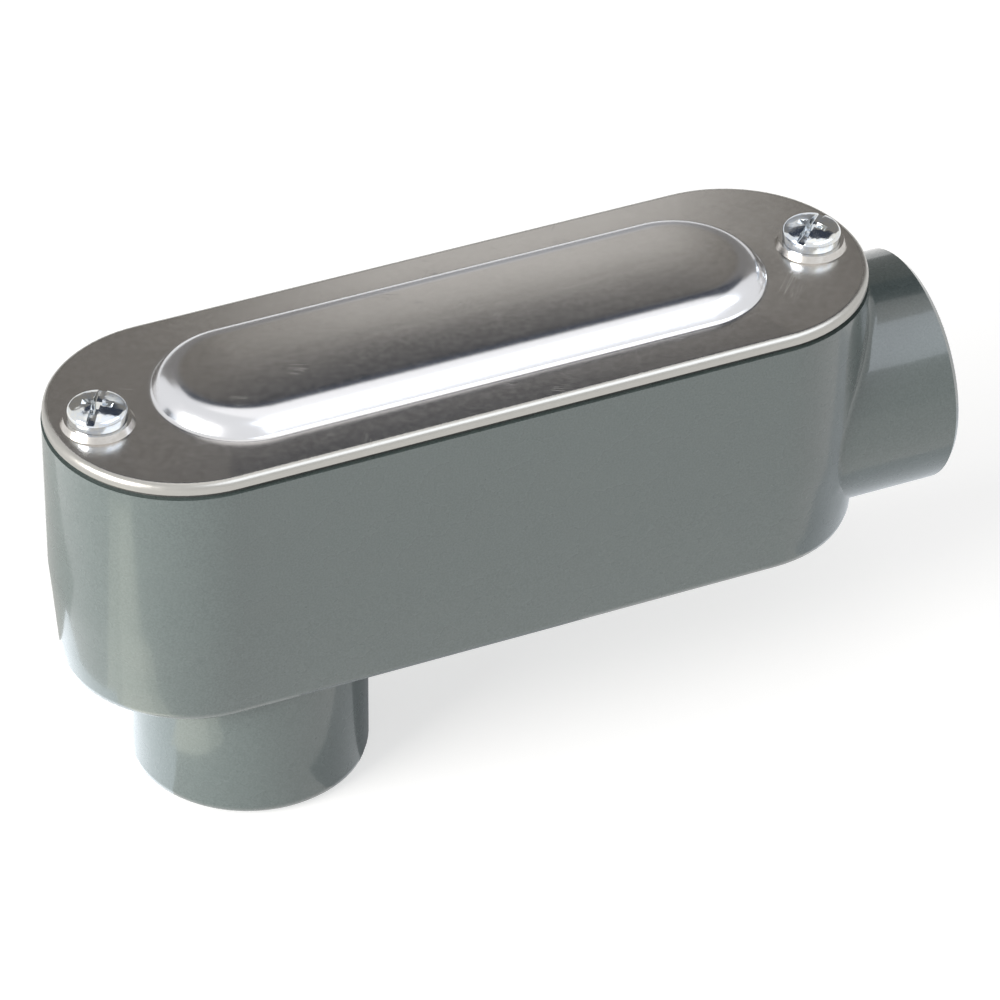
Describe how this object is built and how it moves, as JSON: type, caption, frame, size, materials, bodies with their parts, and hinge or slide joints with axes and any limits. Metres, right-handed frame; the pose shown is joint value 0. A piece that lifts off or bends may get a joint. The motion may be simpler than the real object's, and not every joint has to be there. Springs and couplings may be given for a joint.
{
  "type": "conduit body",
  "caption": "Right-angle conduit body: cast stadium-shaped housing with threaded hubs below one end and in the other, gasketed stamped cover held by pan head screws.",
  "frame": {"origin": "centre of the mouth of the bottom hub, the hub that screws onto the end of a vertical conduit", "axes": "+Z from the bottom hub up to the cover, +X along the housing and out of the back hub, +Y to the left of +X"},
  "size_m": [0.1532, 0.046, 0.0768],
  "materials": {
    "housing": "grey-green baked enamel on a smooth aluminium casting, satin gloss",
    "gasket": "black sheet rubber, matt",
    "cover": "stamped sheet, fine mill grain, bright where it was drawn",
    "screws": "bright clear zinc plating"
  },
  "bodies": {
    "housing": {"housing": "housing"},
    "cover": {"cover": "cover", "gasket": "gasket"},
    "left_screw": {"left_screw": "screws"},
    "right_screw": {"right_screw": "screws"}
  },
  "joints": [
    {"name": "cover_lift", "type": "slide", "parent": "housing", "child": "cover", "axis": [0, 0, 1], "range_m": [0, 0.03]},
    {"name": "left_screw_out", "type": "slide", "parent": "cover", "child": "left_screw", "axis": [0, 0, 1], "range_m": [0, 0.013]},
    {"name": "right_screw_out", "type": "slide", "parent": "cover", "child": "right_screw", "axis": [0, 0, 1], "range_m": [0, 0.013]}
  ]
}
